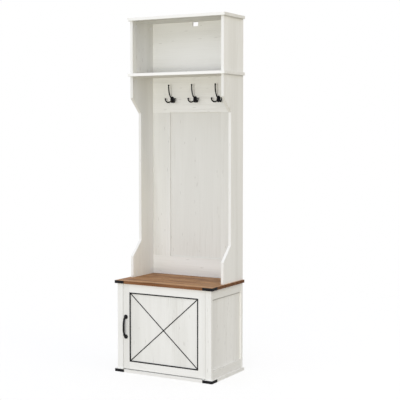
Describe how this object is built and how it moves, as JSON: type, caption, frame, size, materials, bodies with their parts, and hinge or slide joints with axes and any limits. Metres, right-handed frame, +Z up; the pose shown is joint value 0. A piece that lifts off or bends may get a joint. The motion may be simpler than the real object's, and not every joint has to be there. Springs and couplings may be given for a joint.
{
  "type": "hall tree with hooks",
  "caption": "Tall narrow hall tree: bench cabinet with a framed door, waisted side panels, a rail of coat hooks and an open compartment under the top board.",
  "frame": {"origin": "on the floor, under the middle of the base board", "axes": "+Z up, the front faces -Y, +X to the right seen from the front"},
  "size_m": [0.5848, 0.368, 1.85],
  "materials": {
    "white_board": "off-white laminate with a faint grey wood grain, satin",
    "brown_board": "rustic brown wood with plank-like tones, satin",
    "beech": "plain turned beech",
    "zinc_steel": "zinc plated",
    "pin_steel": "ground steel",
    "nylon": "natural nylon",
    "white_plastic": "matt white",
    "grey_plastic": "matt grey",
    "black_metal": "black powder coat, satin",
    "black_handle": "black powder coat, satin",
    "black_cast": "black painted casting, satin"
  },
  "bodies": {
    "hall_tree": {"base_board": "white_board", "bench_top": "brown_board", "inner_shelf": "white_board", "cabinet_back_panel": "white_board", "cabinet_back_tacks": "zinc_steel", "pivot_pins": "pin_steel", "magnetic_catch": "grey_plastic", "bracket_nails": "black_metal", "shelf_board": "white_board", "top_board": "white_board", "upper_back_panel": "white_board", "hook_rail": "white_board", "back_bottom_rail": "white_board", "back_centre_panel": "white_board", "hook_screws": "black_metal", "cabinet_dowels": "beech", "hutch_dowels": "beech", "back_dowels": "beech", "cam_bolts": "zinc_steel", "cam_covers": "white_plastic", "base_screws": "zinc_steel", "cam_locks": "zinc_steel", "hook_left": "black_cast", "hook_middle": "black_cast", "hook_right": "black_cast", "right_front_post": "white_board", "left_front_post": "white_board", "right_back_post": "white_board", "left_back_post": "white_board", "right_side_bottom_rail": "white_board", "left_side_bottom_rail": "white_board", "right_side_top_rail": "white_board", "left_side_top_rail": "white_board", "right_side_panel": "white_board", "left_side_panel": "white_board", "right_shelf_cleat": "white_board", "left_shelf_cleat": "white_board", "right_hutch_lower_side": "white_board", "left_hutch_lower_side": "white_board", "right_hutch_upper_side": "white_board", "left_hutch_upper_side": "white_board", "right_back_stile": "white_board", "left_back_stile": "white_board", "right_bench_bracket": "black_metal", "left_bench_bracket": "black_metal", "right_base_bracket": "black_metal", "left_base_bracket": "black_metal"},
    "door": {"door_left_stile": "white_board", "door_right_stile": "white_board", "door_bottom_rail": "white_board", "door_top_rail": "white_board", "door_panel": "white_board", "door_dowels": "beech", "door_frame_strips": "black_metal", "door_cross_strips": "black_metal", "door_handle": "black_handle", "handle_screws": "zinc_steel", "pivot_bushes": "nylon", "strike_plate": "zinc_steel"}
  },
  "joints": [
    {"name": "door_swing", "type": "hinge", "parent": "hall_tree", "child": "door", "pos_m": [0.2338, -0.1605, 0.24], "axis": [0, 0, 1], "range_deg": [0, 105]}
  ]
}
